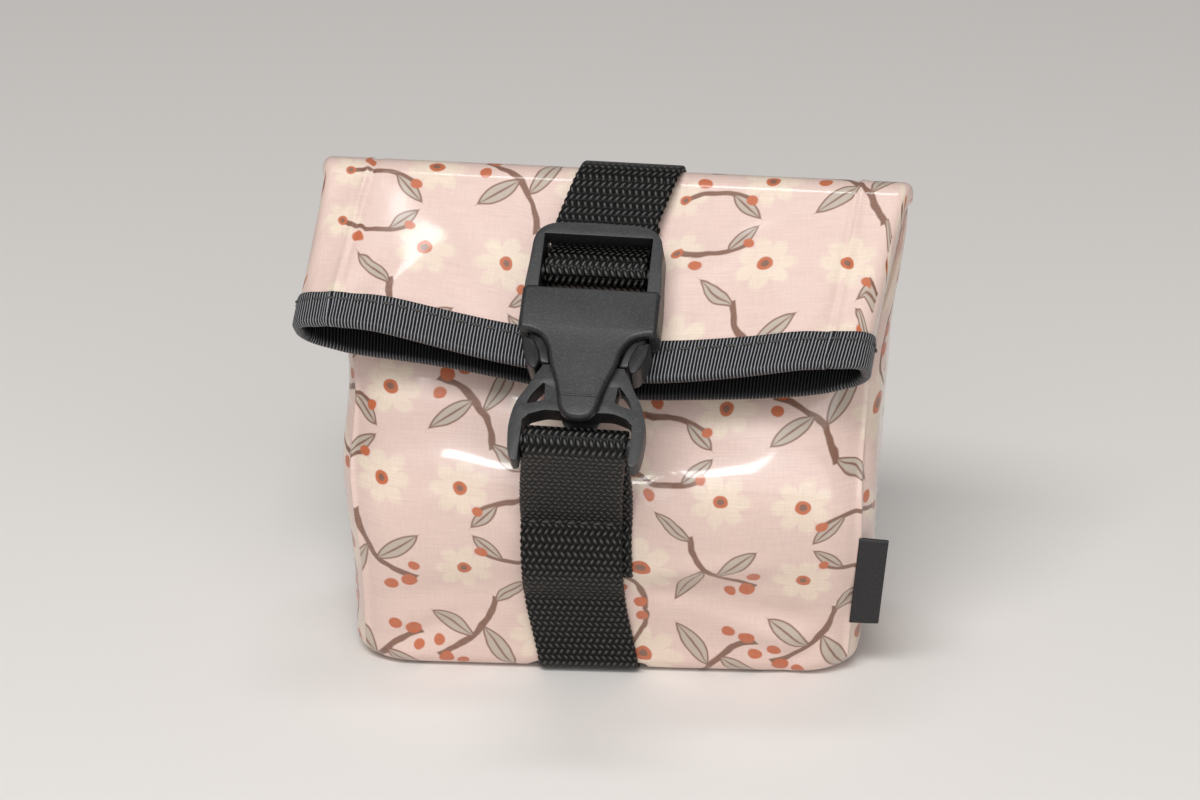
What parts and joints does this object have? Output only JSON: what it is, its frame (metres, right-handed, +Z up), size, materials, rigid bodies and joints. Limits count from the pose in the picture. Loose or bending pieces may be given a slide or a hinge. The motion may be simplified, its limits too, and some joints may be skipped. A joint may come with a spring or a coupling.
{
  "type": "treat pouch",
  "caption": "Boxed cloth pouch with a fold-over bound mouth, held shut at the front by a webbing strap and a side-release buckle; the strap stands off the back to take a belt.",
  "frame": {"origin": "on the floor under the middle of the base, on the underside of the strap that runs under it", "axes": "+X to the right as seen from the front, +Z up, and the front with the buckle faces -Y"},
  "size_m": [0.147, 0.1013, 0.1262],
  "materials": {
    "coated_cotton": "glossy coated cotton with a printed scatter of flowers and leaves on dusty pink",
    "lining": "smooth black coated lining",
    "ribbed_tape": "black ribbed tape with a satin sheen",
    "webbing": "black woven webbing with a flecked herringbone",
    "buckle": "dark moulded acetal with a fine grain"
  },
  "bodies": {
    "pouch": {"base_panel": "coated_cotton", "front_panel": "coated_cotton", "right_gusset": "coated_cotton", "back_panel": "coated_cotton", "left_gusset": "coated_cotton", "flap_face": "coated_cotton", "flap_underside": "coated_cotton", "lining": "lining", "mouth_binding": "ribbed_tape", "seam_tab": "ribbed_tape", "front_strap": "webbing", "base_strap": "webbing", "back_strap": "webbing", "top_strap": "webbing", "buckle_plug": "buckle"},
    "socket": {"buckle_socket": "buckle"},
    "left_prong": {"left_prong": "buckle"},
    "right_prong": {"right_prong": "buckle"}
  },
  "joints": [
    {"name": "buckle_release", "type": "slide", "parent": "pouch", "child": "socket", "axis": [0, 0.7668, 0.6419], "range_m": [0, 0.032], "deforming": ["top_strap"]},
    {"name": "left_squeeze", "type": "hinge", "parent": "pouch", "child": "left_prong", "pos_m": [-0.0096, -0.04512, 0.09227], "axis": [0, 0.6419, -0.7668], "range_deg": [0, 6], "stiffness_Nm_per_rad": 0.6},
    {"name": "right_squeeze", "type": "hinge", "parent": "pouch", "child": "right_prong", "pos_m": [0.0096, -0.04512, 0.09227], "axis": [0, -0.6419, 0.7668], "range_deg": [0, 6], "stiffness_Nm_per_rad": 0.6}
  ],
  "couplings": [
    {"joint": "right_squeeze", "follows": "left_squeeze", "ratio": 1}
  ]
}
